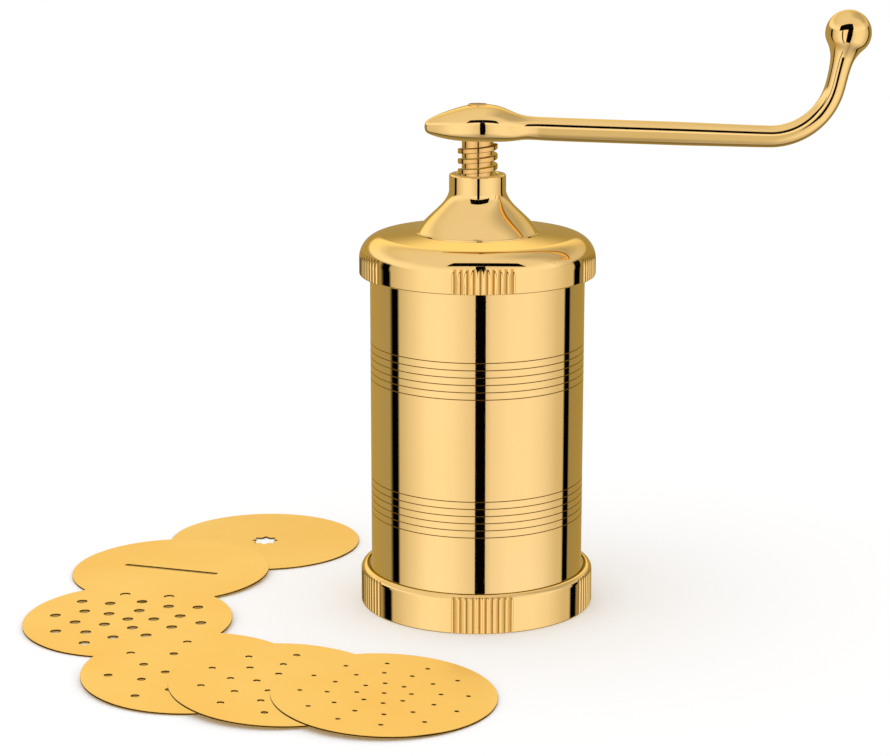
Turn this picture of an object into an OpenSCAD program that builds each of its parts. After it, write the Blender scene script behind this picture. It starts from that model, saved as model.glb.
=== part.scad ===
// Murukku press: a brass barrel with a screw-on cap and base ring, a crank screw that drives a piston,
// and a loose set of six die plates lying beside it. Millimetres, Z up, press axis on Z, table at Z = 0.

/* [Barrel] */
// outside diameter of the barrel
barrel_diameter = 64; // [60:1:70]
// thickness of the barrel wall
barrel_wall = 3; // [2.6:0.1:3.6]
// length of barrel that shows between base ring and cap
barrel_length = 89.7; // [80:0.1:100]
// engraved lines in each band
line_count = 6; // [3:1:7]
// distance from one engraved line to the next
line_pitch = 2.17; // [1.8:0.01:2.4]
// radius of the round groove that makes a line
line_radius = 0.3; // [0.2:0.05:0.4]
// middle of the lower band above the base ring
lower_band = 22.4; // [20:0.1:25]
// middle of the upper band below the cap
upper_band = 25.9; // [23:0.1:28]

/* [Cap and base ring] */
// how far cap and base ring stand out from the barrel
rim_overhang = 3.2; // [3:0.1:4.5]
// height of the base ring
ring_height = 11.5; // [10:0.5:14]
// thickness of the lip that a die sits on
lip_thickness = 2; // [1.6:0.1:2.6]
// width of that lip inside the barrel's outside radius
lip_width = 5; // [4.4:0.1:6]
// height of the cap's upright fluted face
cap_face = 4.8; // [4:0.1:8]
// radius of the cap's rounded shoulder
cap_shoulder = 7; // [6:0.1:8]
// rise of the cap's top from shoulder to neck
cap_rise = 0.6; // [0.1:0.05:1]
// grip patches round each rim
flute_patches = 5; // [3:1:6]
// flutes in a patch
flutes_in_patch = 10; // [6:1:12]
// depth of a flute
flute_depth = 0.35; // [0.2:0.05:0.5]

/* [Neck] */
// diameter of the straight upper part of the neck
neck_diameter = 16.9; // [16.5:0.1:19]
// diameter of the neck's flared foot
foot_diameter = 37; // [33:0.2:40]
// height of the neck above the cap
neck_height = 17.4; // [16:0.1:22]

/* [Lead screw] */
// diameter over the thread
screw_diameter = 11.8; // [11.4:0.1:12.4]
// rise of the thread in one turn
thread_pitch = 3; // [2.6:0.1:3.6]
// depth of the thread
thread_depth = 1.2; // [0.9:0.1:1.3]
// play between the thread and the neck on every side
thread_play = 0.25; // [0.2:0.05:0.35]
// length of screw that shows between neck and crank
screw_showing = 9.6; // [9.5:0.1:14]

/* [Crank] */
// distance from the screw to the start of the bend
arm_length = 85.3; // [70:0.1:110]
// diameter of the arm at the hub
arm_diameter = 7; // [5.8:0.1:7.4]
// angle that the arm falls away by
arm_droop = 1.85; // [0:0.05:3]
// radius of the bend
bend_radius = 19; // [16:0.5:26]
// angle turned by the bend
bend_turn = 80; // [60:0.5:88]
// length from bend to the middle of the ball
stem_length = 15.5; // [14:0.5:20]
// diameter of the ball grip
ball_diameter = 13.6; // [12.4:0.2:17]
// height of the hub
hub_height = 10.8; // [10.4:0.1:13]
// width of the hub across the arm
hub_width = 18.5; // [17:0.5:22]
// reach of the hub's tail behind the screw
tail_length = 15.7; // [14:0.1:19]

/* [Piston] */
// play between piston and barrel
piston_play = 0.3; // [0.2:0.05:0.5]
// thickness of the piston's plate
piston_thickness = 4; // [3.4:0.1:5]
// height of the piston's underside above the table
piston_height = 12.8; // [12.6:0.1:16]

/* [Dies] */
// thickness of a die plate
die_thickness = 0.6; // [0.5:0.1:1.4]
// points of the star opening
star_points = 8; // [6:1:10]
// width of the star opening over its points
star_width = 9.2; // [8.8:0.1:11]
// length of the slit
slit_length = 32; // [20:1:40]
// width of the slit
slit_width = 2; // [1:0.1:2.6]
// hole diameter of the die with the largest holes
large_hole = 3.2; // [2.8:0.1:3.6]
// hole diameter of the die with medium holes
medium_hole = 2.4; // [2:0.1:2.8]
// hole diameter of the die with small holes
small_hole = 2; // [1.6:0.1:2.2]
// hole diameter of the die with the finest holes
fine_hole = 1.35; // [1.1:0.05:1.6]

/* [Hidden] */
$fa = 4;
$fs = 0.4;
brass = [0.86, 0.66, 0.33];
dark_brass = [0.66, 0.50, 0.24];

// radii of barrel, bore and rims
barrel_r = barrel_diameter / 2;
bore_r = barrel_r - barrel_wall;
rim_r = barrel_r + rim_overhang;
rim_play = 0.2;
rim_bore_r = barrel_r + rim_play;
// the barrel's ends are turned down where the rims screw on
land_r = barrel_r - 1.1;
outlet_r = barrel_r - lip_width;
ring_edge = 1.2;

// heights from the table up
seat_play = 0.2;
barrel_z0 = lip_thickness + seat_play;
skirt_z = ring_height + barrel_length;
face_z = skirt_z + cap_face;
shoulder_lean = 86.8;
shoulder_z = face_z + cap_shoulder * sin(shoulder_lean);
cap_top = shoulder_z + cap_rise;
roof_z = face_z + 0.6 * cap_shoulder;
barrel_z1 = roof_z - seat_play;
neck_top = cap_top + neck_height;
hub_z = neck_top + screw_showing;
hub_top = hub_z + hub_height;

// grip flutes: one patch faces a little right of the front
flute_r = 1;
flute_turn = 3;
flute_front = -87;

// neck
neck_r = neck_diameter / 2;
foot_r = foot_diameter / 2;
foot_lip = 0.5;
spigot_r = 9.4;
spigot_z = roof_z - 2.8;
flare_z = cap_top + 0.71 * neck_height;

// thread: a square ridge with slightly sloped flanks, the same in screw and neck
turn_steps = 18;
screw_r = screw_diameter / 2;
root_r = screw_r - thread_depth;
crest_width = 0.43 * thread_pitch;
flank_width = 0.05 * thread_pitch;
shoulder_gap = 0.2;
boss_top = piston_height + 10;
washer_thickness = 0.8;
screw_z0 = boss_top + shoulder_gap + washer_thickness;
thread_z0 = screw_z0 + 0.6;
ridge_width = crest_width + 2 * flank_width;
thread_rows = floor(turn_steps * (hub_z - 0.2 - ridge_width - thread_z0) / thread_pitch);
journal_r = 3.8;
stud_r = 2.9;

// crank
hub_mid = 0.478 * hub_height;
hub_shift = 1;
hub_r = 11.1;
arm_z = hub_z + 0.39 * hub_height;
arm_root = 1.35 * hub_r;
arm_r0 = arm_diameter / 2;
arm_r1 = 0.94 * arm_r0;
ball_r = ball_diameter / 2;
tail_r = 2.05;
tang = 6.2;
tang_play = 0.05;
peen_r = 3;

// piston
piston_r = bore_r - piston_play;
boss_r = 10;
recess_r = 8.5;
recess_z = piston_height + 5.2;
nut_r = 5.6;
nut_height = 3.4;
nut_top = recess_z - shoulder_gap - washer_thickness;

// where each die lies, and how it leans on the ones laid before it
die_r = barrel_r - 1;
die_gap = 0.2;
die_spots = [
    [-69.9, 56.3],
    [-96.8, 22.8],
    [-103.6, -26.2],
    [-79.3, -70.6],
    [-53.6, -81.1],
    [-25, -88.3]
];
slope_1 = die_slope(1, [0]);
slope_2 = die_slope(2, [0, slope_1]);
slope_3 = die_slope(3, [0, slope_1, slope_2]);
slope_4 = die_slope(4, [0, slope_1, slope_2, slope_3]);
slope_5 = die_slope(5, [0, slope_1, slope_2, slope_3, slope_4]);
die_slopes = [0, slope_1, slope_2, slope_3, slope_4, slope_5];

function bezier(p, q, r, s, t) =
    pow(1 - t, 3) * p + 3 * t * pow(1 - t, 2) * q + 3 * t * t * (1 - t) * r + pow(t, 3) * s;

function curve(p, q, r, s, steps) = [for (i = [0:steps]) bezier(p, q, r, s, i / steps)];

function arc(centre, rx, ry, from, to, steps) =
    [for (i = [0:steps]) let (a = from + (to - from) * i / steps) centre + [rx * cos(a), ry * sin(a)]];

// direction in which a die leans: towards the die laid just before it
function lean_way(k) =
    let (d = die_spots[max(k - 1, 0)] - die_spots[k])
    k == 0 ? [1, 0] : d / norm(d);

function lean_angle(k) = let (u = lean_way(k)) atan2(u[1], u[0]);

// height of the top of die k above the table at point p
function die_top(k, slope, p) =
    die_thickness * sqrt(1 + slope * slope) + slope * ((p - die_spots[k]) * lean_way(k) + die_r);

// slope that lifts die k clear of every die under it, its far edge staying on the table
function die_slope(k, slopes) =
    max([
        for (j = [0:k - 1], a = [0:6:354], own = [0, 1])
            let (
                p = die_spots[own == 1 ? k : j] + die_r * [cos(a), sin(a)],
                far = die_spots[own == 1 ? j : k],
                reach = (p - die_spots[k]) * lean_way(k) + die_r
            )
            if (norm(p - far) <= die_r && reach > 1)
                (die_top(j, slopes[j], p) + die_gap) / reach
    ]);

// closed solid of a helical ridge on a round root, right-hand, ridge starting at z0 on the +X side
module thread(root, crest, z0, rows, crest_w, flank, bottom, top) {
    n = turn_steps;
    rise = thread_pitch / n;
    ridge = crest_w + 2 * flank;
    ring = 4 * (rows + 1);
    lid = ring + n;
    points = concat(
        [
            for (m = [0:rows], j = [0:3])
                let (
                    r = (j == 0 || j == 3) ? root : crest,
                    h = [0, flank, flank + crest_w, ridge][j],
                    a = 360 * m / n
                )
                [r * cos(a), r * sin(a), z0 + rise * m + h]
        ],
        [for (i = [0:n - 1]) [root * cos(360 * i / n), root * sin(360 * i / n), bottom]],
        [
            for (i = [0:n - 1])
                let (a = 360 * (rows - n + i) / n)
                [root * cos(a), root * sin(a), top]
        ]
    );
    ridge_faces = [
        for (m = [0:rows - 1], j = [0:2], half = [0, 1])
            let (a = 4 * m + j)
            half == 0 ? [a, a + 1, a + 5] : [a, a + 5, a + 4]
    ];
    root_faces = [
        for (m = [0:rows - n - 1], half = [0, 1])
            let (d = 4 * m + 3, a = 4 * (m + n))
            half == 0 ? [d, a, a + 4] : [d, a + 4, d + 4]
    ];
    low_wall = [for (i = [0:n - 2]) [ring + i, 4 * i, 4 * i + 4, ring + i + 1]];
    low_seam = [[ring + n - 1, 4 * (n - 1), 4 * n, 3, 0, ring]];
    last = 4 * rows;
    first_top = 4 * (rows - n) + 3;
    high_seam = [[first_top + 4, first_top, last, last + 3, lid, lid + 1]];
    high_wall = [
        for (i = [1:n - 1])
            let (d = first_top + 4 * i)
            [d, lid + i, lid + (i + 1) % n, d + 4]
    ];
    ends = [
        [3, 2, 1, 0],
        [last, last + 1, last + 2, last + 3],
        [for (i = [0:n - 1]) ring + i],
        [for (i = [0:n - 1]) lid + n - 1 - i]
    ];
    polyhedron(
        points = points,
        faces = concat(ridge_faces, root_faces, low_wall, low_seam, high_seam, high_wall, ends),
        convexity = 10
    );
}

module flutes(z0, z1) {
    for (patch = [0:flute_patches - 1], i = [0:flutes_in_patch - 1])
        rotate(flute_front + patch * 360 / flute_patches + (i - (flutes_in_patch - 1) / 2) * flute_turn)
            translate([rim_r - flute_depth + flute_r, 0, z0])
                cylinder(h = z1 - z0, r = flute_r);
}

// ring that screws on the barrel's foot and holds a die on its lip
module base_ring() {
    color(brass)
        difference() {
            rotate_extrude()
                union() {
                    translate([outlet_r, 0])
                        square([rim_r - 0.4 - outlet_r, lip_thickness]);
                    translate([rim_bore_r, 0])
                        square([rim_r - ring_edge - rim_bore_r, ring_height]);
                    translate([rim_bore_r, 0.4])
                        square([rim_overhang - rim_play, ring_height - ring_edge - 0.4]);
                    translate([rim_r - ring_edge, ring_height - ring_edge])
                        circle(r = ring_edge);
                    translate([rim_r - 0.4, 0.4])
                        circle(r = 0.4);
                }
            flutes(-1, ring_height + 1);
        }
}

// tube with two bands of engraved lines and a turned-down land at each end
module barrel() {
    low = ring_height - 0.8;
    high = skirt_z + 0.6;
    color(brass)
        rotate_extrude()
            difference() {
                union() {
                    translate([bore_r, barrel_z0])
                        square([land_r - bore_r, barrel_z1 - barrel_z0]);
                    translate([bore_r, low])
                        square([barrel_wall, high - low]);
                }
                for (i = [0:line_count - 1], middle = [ring_height + lower_band, skirt_z - upper_band])
                    translate([barrel_r, middle + (i - (line_count - 1) / 2) * line_pitch])
                        circle(r = line_radius);
            }
}

// domed cap, open below, with a seat for the neck in its top
module top_cap() {
    color(brass)
        difference() {
            rotate_extrude()
                polygon(concat(
                    [
                        [spigot_r + 0.05, roof_z],
                        [spigot_r + 0.05, cap_top],
                        [foot_r + 0.3, cap_top]
                    ],
                    arc([rim_r - cap_shoulder, face_z], cap_shoulder, cap_shoulder, shoulder_lean, 0, 16),
                    [
                        [rim_r, skirt_z + 0.5],
                        [rim_r - 0.5, skirt_z],
                        [rim_bore_r, skirt_z],
                        [rim_bore_r, roof_z]
                    ]
                ));
            flutes(skirt_z - 1, face_z + 0.9 * cap_shoulder);
        }
}

// flared neck that stands in the cap and carries the nut thread for the lead screw
module cap_neck() {
    start = thread_z0 - thread_play;
    skip = floor((spigot_z - start) / thread_pitch) - 2;
    z0 = start + skip * thread_pitch;
    color(brass)
        difference() {
            rotate_extrude()
                union() {
                    polygon(concat(
                        [
                            [0, cap_top],
                            [foot_r, cap_top],
                            [foot_r, cap_top + foot_lip]
                        ],
                        curve(
                            [foot_r - 0.4, cap_top + foot_lip],
                            [0.78 * foot_r, cap_top + 0.33 * neck_height],
                            [neck_r + 0.8, cap_top + 0.46 * neck_height],
                            [neck_r, flare_z],
                            18
                        ),
                        [
                            [neck_r, neck_top - 0.6],
                            [neck_r - 0.6, neck_top],
                            [0, neck_top]
                        ]
                    ));
                    translate([0, spigot_z])
                        square([spigot_r, cap_top + 1 - spigot_z]);
                    translate([neck_r - 0.6, neck_top - 0.6])
                        circle(r = 0.6);
                }
            thread(
                root_r + thread_play,
                screw_r + thread_play,
                z0,
                ceil(turn_steps * (neck_top + 3 * thread_pitch - z0) / thread_pitch),
                crest_width + 2 * thread_play,
                flank_width,
                z0 - 2,
                neck_top + 6 * thread_pitch
            );
        }
}

// lead screw: journal and stud for the piston below, square tang for the crank above
module screw_shaft() {
    stud_z = piston_height + 0.6;
    journal_z = nut_top + 0.15;
    color(dark_brass)
        union() {
            thread(
                root_r,
                screw_r,
                thread_z0,
                thread_rows,
                crest_width,
                flank_width,
                screw_z0,
                hub_z
            );
            translate([0, 0, journal_z])
                cylinder(h = screw_z0 + 1 - journal_z, r = journal_r);
            translate([0, 0, stud_z])
                cylinder(h = journal_z + 1 - stud_z, r = stud_r);
            translate([-tang / 2, -tang / 2, hub_z - 1])
                cube([tang, tang, 0.66 * hub_height + 1]);
            translate([0, 0, hub_z + 0.6 * hub_height])
                cylinder(h = 0.4 * hub_height, r = peen_r);
        }
}

// one casting: lens-shaped hub with a tail, drooping arm, upturned bend and ball
module crank_handle() {
    start = [arm_length * cos(arm_droop), arm_z - arm_length * sin(arm_droop)];
    centre = start + bend_radius * [sin(arm_droop), cos(arm_droop)];
    heading = bend_turn - arm_droop;
    bend_end = centre + bend_radius * [sin(heading), -cos(heading)];
    color(brass)
        difference() {
            union() {
                hull() {
                    translate([hub_shift, 0, hub_z])
                        scale([1, hub_width / 2 / hub_r, 1])
                            rotate_extrude($fn = 36)
                                polygon(concat(
                                    [[0, 0]],
                                    arc([6.5, hub_mid], hub_r - 6.5, hub_mid, -90, 0, 4),
                                    arc([3.8, hub_mid], hub_r - 3.8, hub_height - hub_mid, 12, 90, 6),
                                    [[0, hub_height]]
                                ));
                    translate([tail_r - tail_length, 0, arm_z - 0.01 * hub_height])
                        sphere(r = tail_r, $fn = 20);
                    translate([arm_root, 0, arm_z - arm_root * tan(arm_droop)])
                        sphere(r = 0.8 * arm_r0, $fn = 20);
                }
                translate([0, 0, arm_z])
                    rotate([0, 90 + arm_droop, 0])
                        cylinder(h = arm_length + 0.4, r1 = arm_r0, r2 = arm_r1 - 0.03);
                translate([centre[0], 0, centre[1]])
                    rotate([90, 0, 0])
                        rotate([0, 0, -90 - arm_droop])
                            rotate_extrude(angle = bend_turn)
                                translate([bend_radius, 0])
                                    circle(r = arm_r1);
                translate([bend_end[0], 0, bend_end[1]])
                    rotate([0, 90 - heading, 0]) {
                        rotate_extrude()
                            polygon(concat(
                                [[0, -0.4], [arm_r1 - 0.03, -0.4]],
                                curve(
                                    [arm_r1 - 0.03, 0],
                                    [arm_r1, stem_length - 1.25 * ball_r],
                                    [arm_r1 + 0.2, stem_length - ball_r],
                                    [0.66 * ball_r, stem_length - 0.56 * ball_r],
                                    10
                                ),
                                [[0, stem_length]]
                            ));
                        translate([0, 0, stem_length])
                            sphere(r = ball_r);
                    }
            }
            translate([-tang / 2 - tang_play, -tang / 2 - tang_play, hub_z - 1])
                cube([tang + 2 * tang_play, tang + 2 * tang_play, 0.66 * hub_height + 1 + tang_play]);
            translate([0, 0, hub_z + 0.5 * hub_height])
                cylinder(h = hub_height, r = peen_r + tang_play);
        }
}

// plate with a boss for the screw's journal and a recess below for washer and nut
module piston_plate() {
    edge = 0.6;
    color(brass)
        difference() {
            rotate_extrude()
                union() {
                    translate([0, piston_height])
                        square([piston_r - edge, piston_thickness]);
                    translate([0, piston_height + edge])
                        square([piston_r, piston_thickness - 2 * edge]);
                    translate([piston_r - edge, piston_height + edge])
                        circle(r = edge);
                    translate([piston_r - edge, piston_height + piston_thickness - edge])
                        circle(r = edge);
                    polygon([
                        [0, piston_height + piston_thickness - 1],
                        [boss_r + 5, piston_height + piston_thickness - 1],
                        [boss_r + 5, piston_height + piston_thickness],
                        [boss_r, recess_z + 1.6],
                        [boss_r, boss_top],
                        [0, boss_top]
                    ]);
                }
            translate([0, 0, piston_height - 1])
                cylinder(h = recess_z - piston_height + 1, r = recess_r);
            translate([0, 0, piston_height])
                cylinder(h = boss_top - piston_height + 1, r = journal_r + shoulder_gap);
        }
}

// washer between the piston's boss and the screw's shoulder
module thrust_washer() {
    color(dark_brass)
        translate([0, 0, boss_top + shoulder_gap])
            difference() {
                cylinder(h = washer_thickness, r = 7.5);
                translate([0, 0, -1])
                    cylinder(h = washer_thickness + 2, r = journal_r + 0.05);
            }
}

// washer that holds the piston on its journal from below
module retaining_washer() {
    color(dark_brass)
        translate([0, 0, nut_top])
            difference() {
                cylinder(h = washer_thickness, r = 7);
                translate([0, 0, -1])
                    cylinder(h = washer_thickness + 2, r = journal_r + 0.05);
            }
}

// hexagonal nut on the screw's stud
module retaining_nut() {
    color(dark_brass)
        translate([0, 0, nut_top - nut_height])
            difference() {
                cylinder(h = nut_height, r = nut_r, $fn = 6);
                translate([0, 0, -1])
                    cylinder(h = nut_height + 2, r = stud_r + 0.05);
            }
}

// holes on one ring of a die
module hole_ring(count, radius, hole, turn) {
    for (i = [0:count - 1])
        rotate(turn + 360 * i / count)
            translate([radius, 0])
                circle(d = hole);
}

// a die in its place in the fan, its openings turned by the given angle
module die_plate(k, turn) {
    translate([die_spots[k][0], die_spots[k][1], 0])
        rotate(lean_angle(k))
            translate([-die_r, 0, 0])
                rotate([0, -atan(die_slopes[k]), 0])
                    translate([die_r, 0, 0])
                        rotate(turn - lean_angle(k))
                            linear_extrude(die_thickness)
                                difference() {
                                    circle(r = die_r);
                                    children();
                                }
}

module die_star() {
    valley = 0.7 * star_width / 2;
    color(brass)
        die_plate(0, 0)
            polygon([
                for (i = [0:2 * star_points - 1])
                    let (r = i % 2 == 0 ? star_width / 2 : valley, a = 180 * i / star_points)
                    [r * cos(a), r * sin(a)]
            ]);
}

module die_slit() {
    color(brass)
        die_plate(1, -18) {
            square([slit_length - slit_width, slit_width], center = true);
            translate([slit_length / 2 - slit_width / 2, 0])
                circle(d = slit_width);
            translate([slit_width / 2 - slit_length / 2, 0])
                circle(d = slit_width);
        }
}

module die_large() {
    color(brass)
        die_plate(2, 0) {
            circle(d = large_hole);
            hole_ring(5, 0.25 * die_r, large_hole, 0);
            hole_ring(10, 0.5 * die_r, large_hole, 10);
            hole_ring(10, 0.72 * die_r, large_hole, 28);
        }
}

module die_medium() {
    color(brass)
        die_plate(3, 0) {
            circle(d = medium_hole);
            hole_ring(4, 0.24 * die_r, medium_hole, 8);
            hole_ring(8, 0.48 * die_r, medium_hole, 27);
            hole_ring(8, 0.75 * die_r, medium_hole, 10);
        }
}

module die_small() {
    color(brass)
        die_plate(4, 0) {
            circle(d = small_hole);
            hole_ring(5, 0.22 * die_r, small_hole, 28);
            hole_ring(9, 0.46 * die_r, small_hole, 12);
            hole_ring(10, 0.71 * die_r, small_hole, 11);
        }
}

module die_fine() {
    color(brass)
        die_plate(5, 0) {
            circle(d = fine_hole);
            hole_ring(8, 0.24 * die_r, fine_hole, 0);
            hole_ring(12, 0.5 * die_r, fine_hole, 2);
            hole_ring(12, 0.74 * die_r, fine_hole, 0);
        }
}

base_ring();
barrel();
top_cap();
cap_neck();
screw_shaft();
crank_handle();
piston_plate();
thrust_washer();
retaining_washer();
retaining_nut();
die_star();
die_slit();
die_large();
die_medium();
die_small();
die_fine();
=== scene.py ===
import math

import bmesh
import bpy
from mathutils import Matrix, Vector


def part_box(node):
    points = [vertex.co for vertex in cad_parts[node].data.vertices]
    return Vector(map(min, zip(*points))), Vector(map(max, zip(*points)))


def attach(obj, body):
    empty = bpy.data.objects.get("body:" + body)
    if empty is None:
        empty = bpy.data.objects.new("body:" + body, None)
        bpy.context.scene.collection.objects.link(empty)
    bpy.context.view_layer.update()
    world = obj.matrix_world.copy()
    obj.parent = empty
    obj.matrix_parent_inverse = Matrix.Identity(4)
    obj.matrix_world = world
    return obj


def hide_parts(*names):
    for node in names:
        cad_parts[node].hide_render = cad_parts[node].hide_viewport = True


mm = 0.001
weld = mm / 1000  # vertices closer than this are one
sunk = 0.1  # a thread's ridge is rooted this deep in its wall
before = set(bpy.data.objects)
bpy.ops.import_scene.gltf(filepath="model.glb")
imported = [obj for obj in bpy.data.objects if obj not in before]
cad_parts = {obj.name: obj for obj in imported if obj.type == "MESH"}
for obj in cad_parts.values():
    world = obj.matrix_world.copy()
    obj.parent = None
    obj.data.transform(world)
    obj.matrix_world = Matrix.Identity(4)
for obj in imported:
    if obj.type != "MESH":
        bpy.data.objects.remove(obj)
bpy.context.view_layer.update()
print("frame loaded")


def linear(code):
    parts = [int(code[k:k + 2], 16) / 255 for k in (1, 3, 5)]
    return [p / 12.92 if p <= 0.04045 else ((p + 0.055) / 1.055) ** 2.4 for p in parts] + [1.0]


def addNode(tree, kind, sockets, **settings):
    node = tree.nodes.new(kind)
    for key, value in settings.items():
        setattr(node, key, value)
    for key, value in sockets.items():
        if isinstance(value, bpy.types.NodeSocket):
            tree.links.new(value, node.inputs[key])
        else:
            node.inputs[key].default_value = value
    return node


def brass(name, finish):
    # cloud and grain are in millimetres; real polishing marks are finer, and are drawn coarse enough to show
    material = bpy.data.materials.new(name)
    material.use_nodes = True
    tree = material.node_tree
    shader = tree.nodes["Principled BSDF"]
    shader.inputs["Metallic"].default_value = 1.0
    shader.inputs["Specular Tint"].default_value = linear(finish["grazing"])
    place = addNode(tree, "ShaderNodeTexCoord", {}).outputs["Object"]
    cloud = addNode(
        tree, "ShaderNodeTexNoise",
        {"Vector": place, "Scale": 1 / (finish["cloud"] * mm), "Detail": 3.0},
    )
    tone = addNode(
        tree, "ShaderNodeMix",
        {0: cloud.outputs["Fac"], 6: linear(finish["deep"]), 7: linear(finish["pale"])},
        data_type="RGBA",
    )
    tree.links.new(tone.outputs[2], shader.inputs["Base Color"])
    turned = addNode(tree, "ShaderNodeMapping", {"Vector": place, "Scale": finish["stretch"]})
    grain = addNode(
        tree, "ShaderNodeTexNoise",
        {"Vector": turned.outputs["Vector"], "Scale": 1 / (finish["grain"] * mm), "Detail": 4.0},
    )
    gloss = addNode(
        tree, "ShaderNodeMapRange",
        {"Value": grain.outputs["Fac"], "From Min": 0.3, "From Max": 0.7,
         "To Min": finish["gloss"][0], "To Max": finish["gloss"][1]},
    )
    tree.links.new(gloss.outputs["Result"], shader.inputs["Roughness"])
    bump = addNode(
        tree, "ShaderNodeBump",
        {"Height": grain.outputs["Fac"], "Strength": finish["relief"], "Distance": 0.02 * mm},
    )
    tree.links.new(bump.outputs["Normal"], shader.inputs["Normal"])
    return material


goldEdge = "#FFE8AC"  # the metal stays gold where it is seen at a flat angle
# mirror with a faint drift of tone, as a buffing wheel leaves it
buffedBrass = brass("cast brass, wheel buffed", {
    "deep": "#F3C87C", "pale": "#F9D28C", "cloud": 30, "grain": 1.2, "stretch": (1, 1, 1),
    "gloss": (0.03, 0.06), "relief": 0.02, "grazing": goldEdge,
})
# same mirror, with hair-fine turning marks that run round the tube
tubeBrass = brass("brass tube, lathe polished", {
    "deep": "#F4CA80", "pale": "#FAD490", "cloud": 40, "grain": 1.5, "stretch": (0.15, 0.15, 4),
    "gloss": (0.03, 0.06), "relief": 0.012, "grazing": goldEdge,
})
# ochre as painted shade, and less sharp, so that flutes and ledges stand off from the mirror round them
ochreShadeBrass = brass("cast brass, ochre as painted shade", {
    "deep": "#CE9440", "pale": "#DCA652", "cloud": 5, "grain": 0.4, "stretch": (1, 1, 0.3),
    "gloss": (0.14, 0.22), "relief": 0.05, "grazing": goldEdge,
})
# rougher dark brown, painted as shade into each engraved line, seam, thread flank and dish, so that each
# reads as a thin dark stroke
grooveShadeBrass = brass("brass, dark brown as painted shade in grooves", {
    "deep": "#694818", "pale": "#855E26", "cloud": 6, "grain": 0.3, "stretch": (1, 1, 1),
    "gloss": (0.12, 0.2), "relief": 0.1, "grazing": goldEdge,
})
# a shade redder and less sharp, with the tool marks of a cut thread
screwBrass = brass("brass rod, thread cut", {
    "deep": "#E2AC60", "pale": "#F0C27A", "cloud": 8, "grain": 0.5, "stretch": (0.3, 0.3, 3),
    "gloss": (0.08, 0.16), "relief": 0.15, "grazing": goldEdge,
})
# soft even sheen of rolled sheet that was brushed lightly
sheetBrass = brass("brass sheet, satin rolled", {
    "deep": "#F9BC50", "pale": "#FFD678", "cloud": 45, "grain": 0.6, "stretch": (1, 1, 1),
    "gloss": (0.28, 0.3), "relief": 0.004, "grazing": "#FFF4D0",
})
# dark matt line of painted shade round each plate and hole, on the sheet's sheared edge
edgeShadeBrass = brass("brass sheet edge, painted shade", {
    "deep": "#2E1C0A", "pale": "#4A3012", "cloud": 3, "grain": 0.2, "stretch": (1, 1, 0.3),
    "gloss": (0.35, 0.55), "relief": 0.3, "grazing": "#FFFFFF",
})
print("materials made")


def boxOf(node):
    low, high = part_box(node)
    return low / mm, high / mm


def middleOf(face):
    # distance of a face's middle from the press axis, and its height
    middle = face.calc_center_median() / mm
    return math.hypot(middle.x, middle.y), middle.z


def rounded(corners):
    # closed outline whose corners (radius, height, fillet) are rounded by arcs
    points = []
    for k, (r, z, fillet) in enumerate(corners):
        here = Vector((r, z))
        if fillet == 0:
            points.append(here)
            continue
        back = (Vector(corners[k - 1][:2]) - here).normalized()
        ahead = (Vector(corners[(k + 1) % len(corners)][:2]) - here).normalized()
        half = back.angle(ahead) / 2
        centre = here + (back + ahead).normalized() * fillet / math.sin(half)
        start = here + back * fillet / math.tan(half) - centre
        end = here + ahead * fillet / math.tan(half) - centre
        steps = 3 + round(3 * fillet)
        for i in range(steps + 1):
            points.append(centre + start.lerp(end, i / steps).normalized() * fillet)
    return points


def bezier(p0, p1, p2, p3, steps):
    corners = [Vector(p) for p in (p0, p1, p2, p3)]
    points = []
    for i in range(steps + 1):
        t = i / steps
        weights = ((1 - t) ** 3, 3 * t * (1 - t) ** 2, 3 * t * t * (1 - t), t ** 3)
        points.append(sum((c * w for c, w in zip(corners, weights)), Vector((0, 0))))
    return points


def join(bm, part):
    mesh = bpy.data.meshes.new("part")
    part.to_mesh(mesh)
    part.free()
    bm.from_mesh(mesh)
    bpy.data.meshes.remove(mesh)


def spun(bm, outline, steps, closed=True, sectors=4, shape=None):
    # one sector is turned and shaped, then copied round the axis
    part = bmesh.new()
    verts = [part.verts.new((p[0] * mm, 0, p[1] * mm)) for p in outline]
    ends = verts[1:] + verts[:1] if closed else verts[1:]
    edges = [part.edges.new(pair) for pair in zip(verts, ends)]
    sector = 2 * math.pi / sectors
    bmesh.ops.spin(
        part, geom=verts + edges, cent=(0, 0, 0), axis=(0, 0, 1),
        angle=sector, steps=steps // sectors,
    )
    if shape:
        shape(part)
    bmesh.ops.spin(
        part, geom=part.verts[:] + part.edges[:] + part.faces[:], cent=(0, 0, 0), axis=(0, 0, 1),
        angle=2 * math.pi - sector, steps=sectors - 1, use_duplicate=True,
    )
    bmesh.ops.remove_doubles(part, verts=part.verts, dist=weld)
    join(bm, part)


def ridge(bm, section, height, pitch, turns, stepsPerTurn):
    # helical ridge: one turn of the section, copied up pitch by pitch, both ends closed
    part = bmesh.new()
    verts = [part.verts.new((p[0] * mm, 0, (height + p[1]) * mm)) for p in section]
    edges = [part.edges.new(pair) for pair in zip(verts, verts[1:] + verts[:1])]
    bmesh.ops.spin(
        part, geom=verts + edges, cent=(0, 0, 0), axis=(0, 0, 1),
        dvec=(0, 0, pitch * mm / stepsPerTurn), angle=2 * math.pi, steps=stepsPerTurn,
    )
    for turn in range(1, turns):
        turnGeom = bmesh.ops.duplicate(part, geom=part.faces[:len(section) * stepsPerTurn])["geom"]
        turnVerts = [g for g in turnGeom if isinstance(g, bmesh.types.BMVert)]
        bmesh.ops.translate(part, verts=turnVerts, vec=(0, 0, turn * pitch * mm))
    bmesh.ops.remove_doubles(part, verts=part.verts, dist=weld)
    bmesh.ops.holes_fill(part, edges=[edge for edge in part.edges if edge.is_boundary], sides=0)
    join(bm, part)


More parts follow.
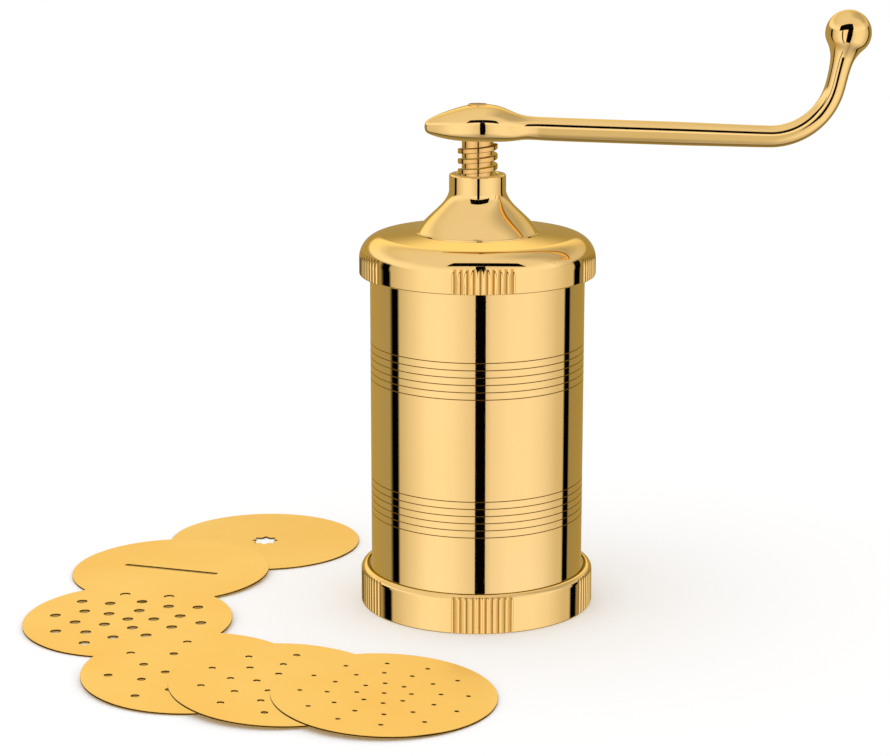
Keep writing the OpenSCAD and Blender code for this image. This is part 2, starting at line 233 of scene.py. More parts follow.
def addPiece(name, bm, body, node, materials, sharp=32):
    # edges that turn by more than sharp degrees stay crisp
    bmesh.ops.remove_doubles(bm, verts=bm.verts, dist=weld)
    bmesh.ops.recalc_face_normals(bm, faces=bm.faces)
    for face in bm.faces:
        face.smooth = True
    for edge in bm.edges:
        edge.smooth = len(edge.link_faces) != 2 or edge.calc_face_angle() < math.radians(sharp)
    mesh = bpy.data.meshes.new(name)
    bm.to_mesh(mesh)
    bm.free()
    for material in materials:
        mesh.materials.append(material)
    piece = bpy.data.objects.new(name, mesh)
    bpy.context.scene.collection.objects.link(piece)
    flat = piece.modifiers.new("flat faces beside fillets", "WEIGHTED_NORMAL")
    flat.keep_sharp = True
    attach(piece, body)
    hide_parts(node)
    print(name, len(mesh.polygons), "faces")
    return piece


ringHigh = boxOf("base_ring")[1]
tubeLow, tubeHigh = boxOf("barrel")
capLow, capHigh = boxOf("top_cap")
tube = {
    "radius": tubeHigh.x, "bore": tubeHigh.x - 3, "land": tubeHigh.x - 1.1, "steps": 288, "sectors": 8,
    "low": ringHigh.z - 0.8, "high": capLow.z + 0.6, "mouth": 0.3, "end": 0.4, "step": 0.15, "shoulder": 0.25,
    "bands": (ringHigh.z + 22.4, capLow.z - 25.9), "lines": 6, "pitch": 2.17, "groove": 0.14,
    "skin": 0.02, "plain": 2.0,
}
# fine thread between tube, ring and cap; foot and crest are half widths of its ridge
joinThread = {
    "pitch": 2.0, "high": 0.85, "foot": 0.75, "crest": 0.2, "nutFoot": 0.7, "play": 0.25, "steps": 96,
    "low": tubeLow.z + 1.4, "lowTurns": 2, "top": tube["high"] + 1.2, "topTurns": 3, "nutTurns": 2,
}

bm = bmesh.new()
wall = rounded([
    (tube["bore"], tubeHigh.z, tube["mouth"]), (tube["bore"], tubeLow.z, tube["mouth"]),
    (tube["land"], tubeLow.z, tube["end"]), (tube["land"], tube["low"], tube["step"]),
    (tube["radius"], tube["low"], tube["shoulder"]),
])
for band in tube["bands"]:
    for i in range(tube["lines"]):
        z = band + (i - (tube["lines"] - 1) / 2) * tube["pitch"]
        for angle in range(-90, 91, 30):  # half-round groove
            a = math.radians(angle)
            wall.append((tube["radius"] - tube["groove"] * math.cos(a), z + tube["groove"] * math.sin(a)))
wall += rounded([
    (tube["radius"], tube["low"], 0), (tube["radius"], tube["high"], tube["shoulder"]),
    (tube["land"], tube["high"], tube["step"]), (tube["land"], tubeHigh.z, tube["end"]),
    (tube["bore"], tubeHigh.z, 0),
])[1:-1]
spun(bm, wall, tube["steps"], sectors=tube["sectors"])
for face in bm.faces:
    # only the engraved lines lie between skin and land, away from the tube's ends; they get painted shade
    reach, z = middleOf(face)
    if tube["land"] < reach < tube["radius"] - tube["skin"]:
        if tube["low"] + tube["plain"] < z < tube["high"] - tube["plain"]:
            face.material_index = 1
crest = tube["land"] + joinThread["high"]
tubeRidge = [
    (tube["land"] - sunk, -joinThread["foot"]), (crest, -joinThread["crest"]),
    (crest, joinThread["crest"]), (tube["land"] - sunk, joinThread["foot"]),
]
for end in ("low", "top"):
    turns = joinThread[end + "Turns"]
    ridge(bm, tubeRidge, joinThread[end], joinThread["pitch"], turns, joinThread["steps"])
barrelTube = addPiece("barrelTube", bm, "barrel", "barrel", [tubeBrass, grooveShadeBrass])
barrelTube.visible_glossy = False  # in the photo no plate mirrors the tube


flute = {
    "radius": 1.1, "depth": 0.36, "pitch": 3.0, "count": 10, "patches": 5, "front": -87.0,
    "dullAndShaded": 0.24, "steps": 1440,
}


def flutePlace(x, y):
    # place in the nearest grip patch, counted in flutes from its first one
    patchTurn = 360 / flute["patches"]
    turn = math.degrees(math.atan2(y, x)) - flute["front"]
    across = (turn + patchTurn / 2) % patchTurn - patchTurn / 2
    return across / flute["pitch"] + (flute["count"] - 1) / 2


def cutFlutes(bm):
    # scallops in patches round the rim, cut into the spun wall
    rim = ringHigh.x
    deepest = rim - flute["depth"]
    for vert in bm.verts:
        radius = math.hypot(vert.co.x, vert.co.y) / mm
        if radius < deepest:
            continue
        place = flutePlace(vert.co.x, vert.co.y)
        nearest = min(max(round(place), 0), flute["count"] - 1)
        across = math.radians((place - nearest) * flute["pitch"]) * rim
        if abs(across) < flute["radius"]:
            cut = deepest + flute["radius"] - math.sqrt(flute["radius"] ** 2 - across ** 2)
            if cut < radius:
                vert.co.x *= cut / radius
                vert.co.y *= cut / radius
    for face in bm.faces:
        # painted shade in the bottom of each flute, which is also rougher
        middle = face.calc_center_median() / mm
        place = flutePlace(middle.x, middle.y)
        inFlute = -0.5 < place < flute["count"] - 0.5 and abs(place - round(place)) < flute["dullAndShaded"]
        if inFlute and math.hypot(middle.x, middle.y) > deepest - 0.1:
            face.material_index = 1


base = {
    "rim": ringHigh.x, "bore": tube["radius"] + 0.2, "outlet": 27.0, "lip": 2.0, "edge": 1.6,
    "seam": 32.95, "seamHalf": 0.42,
}
nutCrest = tube["land"] + joinThread["play"]
halfPitch = joinThread["pitch"] / 2  # a nut's ridge runs between two of the tube's
rimRidge = [
    (base["bore"] + sunk, -joinThread["nutFoot"]), (base["bore"] + sunk, joinThread["nutFoot"]),
    (nutCrest, joinThread["crest"]), (nutCrest, -joinThread["crest"]),
]

bm = bmesh.new()
spun(bm, rounded([
    (base["outlet"], 0, 0.25), (base["rim"], 0, 0.4), (base["rim"], ringHigh.z, base["edge"]),
    (base["seam"] + base["seamHalf"], ringHigh.z, 0), (base["seam"], ringHigh.z - base["seamHalf"], 0),
    (base["seam"] - base["seamHalf"], ringHigh.z, 0), (base["bore"], ringHigh.z, 0.3),
    (base["bore"], base["lip"], 0.2), (base["outlet"], base["lip"], 0.25),
]), flute["steps"], sectors=flute["patches"], shape=cutFlutes)
ridge(
    bm, rimRidge, joinThread["low"] + halfPitch, joinThread["pitch"], joinThread["nutTurns"],
    joinThread["steps"],
)
for face in bm.faces:
    # painted shade on the ledge beside the tube, and darker painted shade in the seam turned into it
    reach, z = middleOf(face)
    if z > ringHigh.z - base["seamHalf"] and reach < base["rim"] - base["edge"]:
        face.material_index = 2 if abs(reach - base["seam"]) < base["seamHalf"] else 1
baseRing = addPiece(
    "baseRing", bm, "base_ring", "base_ring", [buffedBrass, ochreShadeBrass, grooveShadeBrass],
)
baseRing.visible_glossy = False

neckLow, neckHigh = boxOf("cap_neck")
neck = {
    "foot": neckHigh.x, "radius": 8.45, "spigot": 9.4, "lip": 0.5, "bore": 6.15, "top": 0.6,
    "height": neckHigh.z - capHigh.z, "flareTop": 0.71, "lowPull": (0.78, 0.33), "highPull": (0.8, 0.46),
    "steps": 192, "flareSteps": 28,
}
cap = {
    "rim": capHigh.x, "bore": tube["radius"] + 0.2, "seat": neck["spigot"] + 0.05,
    "roof": tubeHigh.z + 0.2, "flat": neck["foot"] + 0.3, "fall": 0.0613, "shoulder": 7.0,
}
corner = capHigh.z - cap["fall"] * (cap["rim"] - cap["flat"])

bm = bmesh.new()
spun(bm, rounded([
    (cap["seat"], cap["roof"], 0.2), (cap["bore"], cap["roof"], 0.4), (cap["bore"], capLow.z, 0.25),
    (cap["rim"], capLow.z, 0.5), (cap["rim"], corner, cap["shoulder"]), (cap["flat"], capHigh.z, 2.0),
    (cap["seat"], capHigh.z, 0.2),
]), flute["steps"], sectors=flute["patches"], shape=cutFlutes)
ridge(
    bm, rimRidge, joinThread["top"] + halfPitch, joinThread["pitch"], joinThread["nutTurns"],
    joinThread["steps"],
)
topCap = addPiece("topCap", bm, "top_cap", "top_cap", [buffedBrass, ochreShadeBrass])
topCap.visible_glossy = False


shaftLow, shaftHigh = boxOf("screw_shaft")
pistonLow, pistonHigh = boxOf("piston_plate")
# square thread of screw and neck; half is half a ridge's width at its crest
thread = {
    "pitch": 3.0, "crest": 5.9, "root": 4.7, "half": 0.72, "flank": 0.15, "play": 0.25,
    "start": pistonHigh.z + 2.395, "hub": neckHigh.z + 9.6, "runOut": 0.6,
    "nutSteps": 72, "screwSteps": 48,
}

bm = bmesh.new()
outer = [Vector(point) for point in (
    (neck["bore"], neckLow.z), (neck["spigot"], neckLow.z), (neck["spigot"], capHigh.z),
    (neck["foot"], capHigh.z), (neck["foot"], capHigh.z + 0.3),
    (neck["foot"] - 0.2, capHigh.z + neck["lip"]),
)]
outer += bezier(
    (neck["foot"] - 0.4, capHigh.z + neck["lip"]),
    (neck["lowPull"][0] * neck["foot"], capHigh.z + neck["lowPull"][1] * neck["height"]),
    (neck["radius"] + neck["highPull"][0], capHigh.z + neck["highPull"][1] * neck["height"]),
    (neck["radius"], capHigh.z + neck["flareTop"] * neck["height"]), neck["flareSteps"],
)
outer += rounded([
    (neck["radius"], neckLow.z, 0), (neck["radius"], neckHigh.z, neck["top"]),
    (neck["bore"], neckHigh.z, 0.4), (neck["bore"], neckLow.z, 0),
])[1:-1]
spun(bm, outer, neck["steps"])
inner = thread["root"] + thread["play"]
halfNut = thread["pitch"] / 2 - thread["half"] - thread["flank"] - thread["play"]
nutRidge = [
    (neck["bore"] + sunk, -halfNut - thread["flank"]), (neck["bore"] + sunk, halfNut + thread["flank"]),
    (inner, halfNut), (inner, -halfNut),
]
# the nut's ridge runs midway between the screw's turns
firstTurn = math.ceil((neckLow.z + 1 - thread["start"]) / thread["pitch"] - 0.5)
nutStart = thread["start"] + (firstTurn + 0.5) * thread["pitch"]
nutTurns = int((neckHigh.z - thread["runOut"] - nutStart) / thread["pitch"])
ridge(bm, nutRidge, nutStart, thread["pitch"], nutTurns, thread["nutSteps"])
capNeck = addPiece("capNeck", bm, "top_cap", "cap_neck", [buffedBrass])
capNeck.visible_glossy = False

shaft = {
    "stud": 2.9, "studBevel": 0.4, "journal": 3.8, "bevel": 0.15, "shoulderBevel": 0.2,
    "journalLow": pistonLow.z + 4.35, "journalHigh": pistonHigh.z + 1, "inHub": thread["hub"] + 0.4,
    "tang": 6.2, "tangHigh": 0.66 * (shaftHigh.z - thread["hub"]), "peen": 3.0, "peenLow": thread["hub"] + 6,
    "steps": 72, "peenSteps": 48,
}
# the peened end bulges, and is dished in the middle: in from its edge, up from the solid's top
peenShape = [(0, 0), (0.25, 0.16), (0.6, 0.2), (0.8, 0.16), (1.6, 0.12), (shaft["peen"], 0.11)]
dish = {"rim": 0.6, "high": 0.1}

bm = bmesh.new()
spun(bm, [
    (0, shaftLow.z), (shaft["stud"] - shaft["studBevel"], shaftLow.z),
    (shaft["stud"], shaftLow.z + shaft["studBevel"]), (shaft["stud"], shaft["journalLow"]),
    (shaft["journal"] - shaft["bevel"], shaft["journalLow"]),
    (shaft["journal"], shaft["journalLow"] + shaft["bevel"]), (shaft["journal"], shaft["journalHigh"]),
    (thread["root"] - shaft["shoulderBevel"], shaft["journalHigh"]),
    (thread["root"], shaft["journalHigh"] + shaft["shoulderBevel"]),
    (thread["root"], shaft["inHub"]), (0, shaft["inHub"]),
], shaft["steps"], closed=False)
half, bevel = thread["half"], shaft["bevel"]
shaftRidge = [
    (thread["root"] - sunk, -half - thread["flank"]), (thread["crest"] - bevel, -half),
    (thread["crest"], -half + bevel), (thread["crest"], half - bevel),
    (thread["crest"] - bevel, half), (thread["root"] - sunk, half + thread["flank"]),
]
screwTurns = int((thread["hub"] - thread["runOut"] - thread["start"]) / thread["pitch"])
ridge(bm, shaftRidge, thread["start"], thread["pitch"], screwTurns, thread["screwSteps"])
for face in bm.faces:
    # painted shade on the flanks of the thread
    if abs(face.normal.z) > 0.6 and middleOf(face)[0] > thread["root"] + 0.2:
        face.material_index = 1
bmesh.ops.create_cube(
    bm, size=mm,
    matrix=Matrix.Translation((0, 0, (thread["hub"] + shaft["tangHigh"] / 2) * mm))
    @ Matrix.Diagonal((shaft["tang"], shaft["tang"], shaft["tangHigh"], 1)),
)
peenEnd = [(shaft["peen"] - inward, shaftHigh.z + up) for inward, up in peenShape]
spun(bm, [(shaft["peen"], shaft["peenLow"])] + peenEnd, shaft["peenSteps"], closed=False)
for face in bm.faces:
    # the dish gets painted shade, rougher than the mirror round it
    reach, z = middleOf(face)
    if z > shaftHigh.z + dish["high"] and reach < shaft["peen"] - dish["rim"]:
        face.material_index = 1
leadScrew = addPiece("leadScrew", bm, "crank", "screw_shaft", [screwBrass, grooveShadeBrass])
leadScrew.visible_glossy = False


crank = {
    "ring": 48, "droop": 1.85, "arm": 85.3, "bend": 19.0, "turn": 80.0, "stem": 15.5, "ball": 6.8,
    "thick": 3.45, "thin": 2.98, "axis": thread["hub"] + 0.39 * (shaftHigh.z - thread["hub"]),
    "armStart": 20, "armSteps": 8, "taperStart": 60, "taper": 0.25, "bendSteps": 12,
    "ballStart": -38, "ballTurn": 127.5, "ballSteps": 10, "hubReach": 14, "fullness": 2.8,
}
droop = math.radians(crank["droop"])
# hub stations: x, height of underside and top above the hub's foot, half width
hubShape = [
    (-15.7, 3.9, 4.5, 0.4), (-15.5, 3.0, 5.5, 1.3), (-15.0, 2.4, 6.1, 1.9), (-14.0, 1.95, 6.75, 2.7),
    (-12.2, 1.4, 7.6, 4.2), (-9.8, 0.85, 8.6, 6.0), (-6.9, 0.42, 9.55, 7.6), (-4.0, 0.2, 10.4, 8.6),
    (-1.0, 0.1, 10.85, 9.2), (2.0, 0.08, 10.9, 9.25), (4.9, 0.06, 10.65, 8.9), (7.4, 0.05, 9.95, 7.9),
    (9.6, 0.1, 8.95, 6.6), (11.8, 0.35, 8.05, 5.25), (14.0, 0.5, 7.45, 4.2), (16.8, 0.4, 7.2, 3.6),
    (20.0, 0.15, 7.05, 3.45),
]
# stations of the whole crank: x, z, heading, half width, half height
stations = []
for x, low, high, width in hubShape:
    stations.append((x, thread["hub"] + (low + high) / 2, 0.0, width, (high - low) / 2))
for i in range(1, crank["armSteps"] + 1):
    along = crank["armStart"] + (crank["arm"] - crank["armStart"]) * i / crank["armSteps"]
    tapered = max(0, along - crank["taperStart"]) / (crank["arm"] - crank["taperStart"])
    thick = crank["thick"] - crank["taper"] * tapered
    x, z = along * math.cos(droop), crank["axis"] - along * math.sin(droop)
    stations.append((x, z, -droop, thick, thick))
bendX = crank["arm"] * math.cos(droop) + crank["bend"] * math.sin(droop)
bendZ = crank["axis"] - crank["arm"] * math.sin(droop) + crank["bend"] * math.cos(droop)
armEnd = crank["thick"] - crank["taper"]
for i in range(1, crank["bendSteps"] + 1):
    share = i / crank["bendSteps"]
    way = math.radians(crank["turn"]) * share - droop
    thick = armEnd + (crank["thin"] - armEnd) * share ** 2
    x, z = bendX + crank["bend"] * math.sin(way), bendZ - crank["bend"] * math.cos(way)
    stations.append((x, z, way, thick, thick))
endX, endZ, way = stations[-1][:3]
# stem and ball: distance from the bend's end, half thickness
ballShape = [(2.5, 2.99), (5.0, 3.08), (7.2, 3.32), (8.8, 3.75), (10.2, 4.4), (11.3, 5.1)]
for i in range(1, crank["ballSteps"] + 1):
    a = math.radians(crank["ballStart"] + crank["ballTurn"] * i / crank["ballSteps"])
    ballShape.append((crank["stem"] + crank["ball"] * math.sin(a), crank["ball"] * math.cos(a)))
for along, thick in ballShape:
    stations.append((endX + along * math.cos(way), endZ + along * math.sin(way), way, thick, thick))

bm = bmesh.new()
ringVerts = bmesh.ops.create_circle(bm, cap_ends=False, radius=1.0, segments=crank["ring"])["verts"]
ringEdges = list(bm.edges)
last = Matrix.Identity(4)
# the ring's plane is square to the heading; its x is the width, its y the height
acrossHeading = Matrix(((0, 0, 1, 0), (-1, 0, 0, 0), (0, 1, 0, 0), (0, 0, 0, 1)))
hubRings = []
for k, (x, z, heading, width, high) in enumerate(stations):
    place = (
        Matrix.Translation((x * mm, 0, z * mm)) @ Matrix.Rotation(-heading, 4, "Y")
        @ acrossHeading @ Matrix.Diagonal((width * mm, high * mm, 1, 1))
    )
    if k:
        made = bmesh.ops.extrude_edge_only(bm, edges=ringEdges)["geom"]
        ringVerts = [g for g in made if isinstance(g, bmesh.types.BMVert)]
        ringEdges = [g for g in made if isinstance(g, bmesh.types.BMEdge)]
    bmesh.ops.transform(bm, matrix=place @ last.inverted(), verts=ringVerts)
    last = place
    if x < crank["hubReach"]:
        hubRings.append((ringVerts, z * mm, width * mm, high * mm))
full = crank["fullness"]
for verts, z, width, high in hubRings:
    # the hub's underside is fuller than an ellipse, so its flank stands nearly upright
    for vert in verts:
        deep = (z - vert.co.z) / high
        if 0 < deep < 0.999:
            vert.co.y = math.copysign(width * (1 - deep ** full) ** (1 / full), vert.co.y)
bmesh.ops.holes_fill(bm, edges=[edge for edge in bm.edges if edge.is_boundary], sides=0)
crankPiece = addPiece(
    "crankHandle", bm, "crank", "crank_handle", [buffedBrass], sharp=60,
)
subdivision = crankPiece.modifiers.new("smooth casting", "SUBSURF")
subdivision.levels = subdivision.render_levels = 2


piston = {
    "radius": pistonHigh.x, "low": pistonLow.z, "plate": pistonLow.z + 4.0, "boss": 10.0, "bossFoot": 15.0,
    "bossLow": pistonLow.z + 6.8, "recess": 8.5, "recessHigh": pistonLow.z + 5.2, "bore": 4.0,
    "edge": 0.6, "steps": 160,
}

bm = bmesh.new()
spun(bm, rounded([
    (piston["bore"], pistonHigh.z, 0.2), (piston["bore"], piston["recessHigh"], 0.1),
    (piston["recess"], piston["recessHigh"], 0.2), (piston["recess"], piston["low"], 0.3),
    (piston["radius"], piston["low"], piston["edge"]), (piston["radius"], piston["plate"], piston["edge"]),
    (piston["bossFoot"], piston["plate"], 2.0), (piston["boss"], piston["bossLow"], 0.6),
    (piston["boss"], pistonHigh.z, 0.5),
]), piston["steps"])
pistonPlate = addPiece("pistonPlate", bm, "piston", "piston_plate", [buffedBrass])
pistonPlate.visible_glossy = False

washer = {"hole": 3.85, "holeEdge": 0.1, "edge": 0.2, "steps": 72}
for name, node in (("thrustWasher", "thrust_washer"), ("retainingWasher", "retaining_washer")):
    washerLow, washerHigh = boxOf(node)
    bm = bmesh.new()
    spun(bm, rounded([
        (washer["hole"], washerLow.z, washer["holeEdge"]), (washerHigh.x, washerLow.z, washer["edge"]),
        (washerHigh.x, washerHigh.z, washer["edge"]), (washer["hole"], washerHigh.z, washer["holeEdge"]),
    ]), washer["steps"])
    addPiece(name, bm, "crank", node, [screwBrass])

nutLow, nutHigh = boxOf("retaining_nut")
nut = {"hole": 2.95, "holeBevel": 0.3, "chamfer": 0.5, "outside": 5.0}
mouth = nut["hole"] + nut["holeBevel"]

bm = bmesh.new()
spun(bm, [
    (mouth, nutLow.z), (nutHigh.x, nutLow.z), (nutHigh.x, nutHigh.z), (mouth, nutHigh.z),
    (nut["hole"], nutHigh.z - nut["holeBevel"]), (nut["hole"], nutLow.z + nut["holeBevel"]),
], 6, sectors=6)
outside = nut["outside"] * mm
bmesh.ops.bevel(
    bm, geom=[e for e in bm.edges if min(math.hypot(v.co.x, v.co.y) for v in e.verts) > outside],
    offset=nut["chamfer"] * mm, affect="EDGES", segments=2, profile=0.5, material=-1,
)
addPiece("retainingNut", bm, "crank", "retaining_nut", [screwBrass])


starLow, starHigh = boxOf("die_star")
plate = {"radius": (starHigh.x - starLow.x) / 2, "thick": 0.6, "edge": 0.1, "steps": 180, "holeSteps": 36}


def addLoop(curve, points):
    spline = curve.splines.new("POLY")
    spline.points.add(len(points) - 1)
    for point, (x, y) in zip(spline.points, points):
        point.co = (x * mm, y * mm, 0, 1)
    spline.use_cyclic_u = True


def circle(x, y, radius, steps):
    turns = [2 * math.pi * i / steps for i in range(steps)]
    return [(x + radius * math.cos(a), y + radius * math.sin(a)) for a in turns]


def holeRing(count, share, diameter, turn):
    reach = share * plate["radius"]
    turns = [math.radians(turn + 360 * i / count) for i in range(count)]
    return [
        circle(reach * math.cos(a), reach * math.sin(a), diameter / 2, plate["holeSteps"]) for a in turns
    ]


def diePlace(node):
    # middle and lean of the plate's upper face, from the frame
    faces = [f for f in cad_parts[node].data.polygons if f.normal.z > 0.9]
    area = sum(f.area for f in faces)
    middle = sum((f.center * f.area for f in faces), Vector()) / area
    normal = sum((f.normal * f.area for f in faces), Vector()).normalized()
    lean = Vector((0, 0, 1)).rotation_difference(normal)
    return Matrix.Translation(middle) @ lean.to_matrix().to_4x4()


def addDie(name, node, openings, turn=0):
    curve = bpy.data.curves.new(name, "CURVE")
    curve.dimensions = "2D"
    curve.fill_mode = "BOTH"
    curve.bevel_depth = plate["edge"] * mm
    curve.bevel_resolution = 1
    curve.offset = -plate["edge"] * mm
    curve.extrude = (plate["thick"] / 2 - plate["edge"]) * mm
    addLoop(curve, circle(0, 0, plate["radius"], plate["steps"]))
    for loop in openings:
        addLoop(curve, loop)
    flat = bpy.data.objects.new(name + "Curve", curve)
    mesh = bpy.data.meshes.new_from_object(flat)
    bm = bmesh.new()
    bm.from_mesh(mesh)
    # the plate's edge and hole walls get the painted shade material
    for face in bm.faces:
        face.material_index = 0 if abs(face.normal.z) > 0.3 else 1
    drop = Matrix.Translation((0, 0, -plate["thick"] / 2 * mm))
    spin = Matrix.Rotation(math.radians(turn), 4, "Z")
    bmesh.ops.transform(bm, matrix=diePlace(node) @ (drop @ spin), verts=bm.verts)
    bpy.data.objects.remove(flat)
    bpy.data.curves.remove(curve)
    bpy.data.meshes.remove(mesh)
    piece = addPiece(name, bm, node, node, [sheetBrass, edgeShadeBrass], sharp=12)
    piece.visible_glossy = False  # the photo's barrel mirrors no plates


star = {"points": 8, "width": 9.2, "valley": 0.7}
starLoop = []
for i in range(2 * star["points"]):
    reach = star["width"] / 2 * (star["valley"] if i % 2 else 1)
    a = math.pi * i / star["points"]
    starLoop.append((reach * math.cos(a), reach * math.sin(a)))
addDie("dieStar", "die_star", [starLoop])

slit = {"length": 32.0, "width": 2.0, "turn": -18, "endSteps": 12}
slitLoop = []
for side, start in ((1, -90), (-1, 90)):
    for i in range(slit["endSteps"] + 1):
        a = math.radians(start + 180 * i / slit["endSteps"])
        x = side * (slit["length"] - slit["width"]) / 2 + slit["width"] / 2 * math.cos(a)
        slitLoop.append((x, slit["width"] / 2 * math.sin(a)))
addDie("dieSlit", "die_slit", [slitLoop], slit["turn"])

# hole diameter, then rings of holes: count, share of the plate's radius, turn in degrees
holedDies = {
    "dieLarge": ("die_large", 3.2, [(1, 0, 0), (5, 0.25, 0), (10, 0.5, 10), (10, 0.72, 28)]),
    "dieMedium": ("die_medium", 2.4, [(1, 0, 0), (4, 0.24, 8), (8, 0.48, 27), (8, 0.75, 10)]),
    "dieSmall": ("die_small", 2.0, [(1, 0, 0), (5, 0.22, 28), (9, 0.46, 12), (10, 0.71, 11)]),
    "dieFine": ("die_fine", 1.35, [(1, 0, 0), (8, 0.24, 0), (12, 0.5, 2), (12, 0.74, 0)]),
}
for name, (node, diameter, rings) in holedDies.items():
    openings = []
    for count, share, turn in rings:
        openings += holeRing(count, share, diameter, turn)
    addDie(name, node, openings)


# brightness of the studio by direction round the press: 0 degrees faces the camera, positive turns right
# heights and rear are the same by height, in front of the press and behind it
studio = {
    "stops": [
        (-180, 0.5), (-150, 0.54), (-108, 0.48), (-103.5, 0.0), (-93.5, 0.0), (-92, 0.74), (-78, 0.95),
        (-55, 1.26), (-40, 1.3), (-25, 1.22), (-6, 1.0), (2, 0.84), (8, 0.84), (15, 1.08), (35, 1.23),
        (58, 1.24), (75, 1.12), (96, 0.84), (106.5, 0.8), (107.5, 0.0), (117, 0.0), (118.5, 0.42),
        (140, 0.47), (180, 0.5),
    ],
    "peak": 1.3, "strength": 1.16, "paper": (0.9, 0.9, 0.9, 1),
    "heights": [(0.28, 1.3), (0.45, 1.25), (0.65, 1.03), (1.0, 1.03)],
    "rear": [(0.19, 0.6), (0.26, 1.3), (0.42, 1.3), (0.6, 0.92), (0.75, 1.0), (1.0, 1.03)],
    "back": (-0.15, 0.15), "lift": (0.19, 0.28),
    "dusk": (0.05, 0.4), "duskLevel": 0.65, "under": (-0.65, -1.0), "underLevel": 0.5,
}


def lightTone(level):
    # the dim sides of the room are warmer than the softboxes
    share = level / studio["peak"]
    return (share, share * min(1, 0.9 + 0.1 * level), share * min(1.05, 0.4 + 0.6 * level), 1)


def addStops(ramp, stops):
    for k, (place, level) in enumerate(stops):
        stop = ramp.elements[k] if k < 2 else ramp.elements.new(place)
        stop.position = place
        stop.color = lightTone(level)


world = bpy.data.worlds.new("studio")
bpy.context.scene.world = world
world.use_nodes = True
tree = world.node_tree
direction = addNode(tree, "ShaderNodeTexCoord", {}).outputs["Generated"]
place = addNode(tree, "ShaderNodeSeparateXYZ", {"Vector": direction}).outputs
front = addNode(tree, "ShaderNodeMath", {0: place["Y"], 1: -1.0}, operation="MULTIPLY")
turn = addNode(tree, "ShaderNodeMath", {0: place["X"], 1: front.outputs[0]}, operation="ARCTAN2")
turnShare = addNode(
    tree, "ShaderNodeMapRange", {"Value": turn.outputs[0], "From Min": -math.pi, "From Max": math.pi},
)
around = addNode(tree, "ShaderNodeValToRGB", {"Fac": turnShare.outputs["Result"]})
addStops(around.color_ramp, [(0.5 + angle / 360, level) for angle, level in studio["stops"]])
above = addNode(tree, "ShaderNodeValToRGB", {"Fac": place["Z"]})
addStops(above.color_ramp, studio["heights"])
behind = addNode(tree, "ShaderNodeValToRGB", {"Fac": place["Z"]})
addStops(behind.color_ramp, studio["rear"])
# the room behind is dimmer to the right
dusk = addNode(
    tree, "ShaderNodeMapRange",
    {"Value": place["X"], "From Min": studio["dusk"][0], "From Max": studio["dusk"][1],
     "To Min": 1.0, "To Max": studio["duskLevel"]},
)
dimBehind = addNode(
    tree, "ShaderNodeMix",
    {0: 1.0, 6: behind.outputs["Color"], 7: dusk.outputs["Result"]},
    data_type="RGBA", blend_type="MULTIPLY",
)
back = addNode(
    tree, "ShaderNodeMapRange",
    {"Value": place["Y"], "From Min": studio["back"][0], "From Max": studio["back"][1]},
)
upper = addNode(
    tree, "ShaderNodeMix",
    {0: back.outputs["Result"], 6: above.outputs["Color"], 7: dimBehind.outputs[2]}, data_type="RGBA",
)
lift = addNode(
    tree, "ShaderNodeMapRange",
    {"Value": place["Z"], "From Min": studio["lift"][0], "From Max": studio["lift"][1]},
)
sky = addNode(
    tree, "ShaderNodeMix",
    {0: lift.outputs["Result"], 6: around.outputs["Color"], 7: upper.outputs[2]}, data_type="RGBA",
)
# straight down it is darker, as under the arm
under = addNode(
    tree, "ShaderNodeMapRange",
    {"Value": place["Z"], "From Min": studio["under"][0], "From Max": studio["under"][1],
     "To Min": 1.0, "To Max": studio["underLevel"]},
)
room = addNode(
    tree, "ShaderNodeMix",
    {0: 1.0, 6: sky.outputs[2], 7: under.outputs["Result"]}, data_type="RGBA", blend_type="MULTIPLY",
)
# only reflections see the room; the rest see white paper
rays = addNode(tree, "ShaderNodeLightPath", {})
shown = addNode(
    tree, "ShaderNodeMix",
    {0: rays.outputs["Is Glossy Ray"], 6: studio["paper"], 7: room.outputs[2]}, data_type="RGBA",
)
tree.links.new(shown.outputs[2], tree.nodes["Background"].inputs["Color"])
tree.nodes["Background"].inputs["Strength"].default_value = studio["strength"]


def addCard(name, size, place, material):
    mesh = bpy.data.meshes.new(name)
    bm = bmesh.new()
    bmesh.ops.create_grid(bm, x_segments=1, y_segments=1, size=0.5)
    scale = Matrix.Diagonal((size[0] * mm, size[1] * mm, 1, 1))
    bmesh.ops.transform(bm, matrix=place @ scale, verts=bm.verts)
    bm.to_mesh(mesh)
    bm.free()
    mesh.materials.append(material)
    card = bpy.data.objects.new(name, mesh)
    bpy.context.scene.collection.objects.link(card)
    return card


def matt(name, colour):
    material = bpy.data.materials.new(name)
    material.use_nodes = True
    shader = material.node_tree.nodes["Principled BSDF"]
    shader.inputs["Base Color"].default_value = linear(colour)
    shader.inputs["Roughness"].default_value = 1.0
    shader.inputs["Specular IOR Level"].default_value = 0.0
    return material


# plain pale floor; the brass mirrors the studio's sides in place of it
sweep = {"size": (12000, 12000), "drop": 0.05}
whitePaper = matt("white paper sweep", "#FBFBFB")
floor = addCard("floor", sweep["size"], Matrix.Translation((0, 0, -sweep["drop"] * mm)), whitePaper)
floor.visible_glossy = False

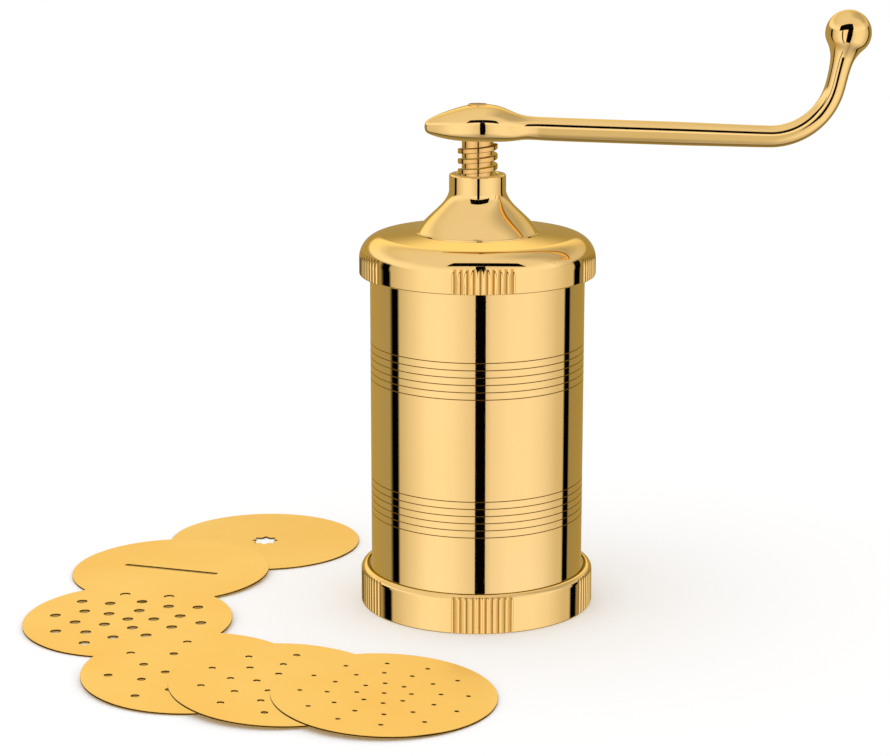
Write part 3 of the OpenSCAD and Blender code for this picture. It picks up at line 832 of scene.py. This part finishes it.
# black cards that only reflections see: the gap between two softboxes, the dark above it, and one by the grip
gap = {
    "left": -3.7, "right": 18.8, "far": -132.0, "low": -60.0, "high": 220.0,
    "head": 110.0, "headWidth": 230.0, "headMiddle": 35.0, "headGap": 2,
    "flag": (105.5, -30.0, 165.0), "flagSize": (12.0, 44.0), "flagLean": 10.0,
}
blackCloth = matt("black velvet", "#050403")
upright = Matrix.Rotation(math.radians(90), 4, "X")
leaning = Matrix.Rotation(math.radians(gap["flagLean"]), 4, "Y") @ upright
gapMiddle = ((gap["left"] + gap["right"]) / 2, gap["far"], (gap["low"] + gap["high"]) / 2)
headMiddle = (gap["headMiddle"], gap["far"], gap["high"] + gap["headGap"] + gap["head"] / 2)
cards = [
    ("gapCard", (gap["right"] - gap["left"], gap["high"] - gap["low"]), gapMiddle, upright),
    ("gapHead", (gap["headWidth"], gap["head"]), headMiddle, upright),
    ("gripFlag", gap["flagSize"], gap["flag"], leaning),
]
for name, size, middle, stand in cards:
    card = addCard(name, size, Matrix.Translation(Vector(middle) * mm) @ stand, blackCloth)
    card.visible_camera = False
    card.visible_diffuse = False
    card.visible_shadow = False

key = {"energy": 0.6, "size": 800, "place": (-500, -400, 800), "aim": (0, 0, 60)}
lamp = bpy.data.lights.new("key", "AREA")
lamp.energy = key["energy"]
lamp.size = key["size"] * mm
lampObject = bpy.data.objects.new("key", lamp)
bpy.context.scene.collection.objects.link(lampObject)
lampObject.visible_glossy = False  # it only softens the shadows
lampObject.location = [part * mm for part in key["place"]]
beam = Vector(key["aim"]) * mm - lampObject.location
lampObject.rotation_euler = beam.to_track_quat("-Z", "Y").to_euler()

# fitted to the photo; down and left are the camera's turns in degrees
view = {"lens": 97.37, "place": (0, -705.6, 233.8), "down": 13.147, "left": 0.782}
camera = bpy.data.cameras.new("camera")
camera.lens = view["lens"]
cameraObject = bpy.data.objects.new("camera", camera)
bpy.context.scene.collection.objects.link(cameraObject)
cameraObject.location = [part * mm for part in view["place"]]
cameraObject.rotation_euler = (math.radians(90 - view["down"]), 0, math.radians(view["left"]))
bpy.context.scene.camera = cameraObject
bpy.context.scene.view_settings.view_transform = "Standard"
print("stage set")
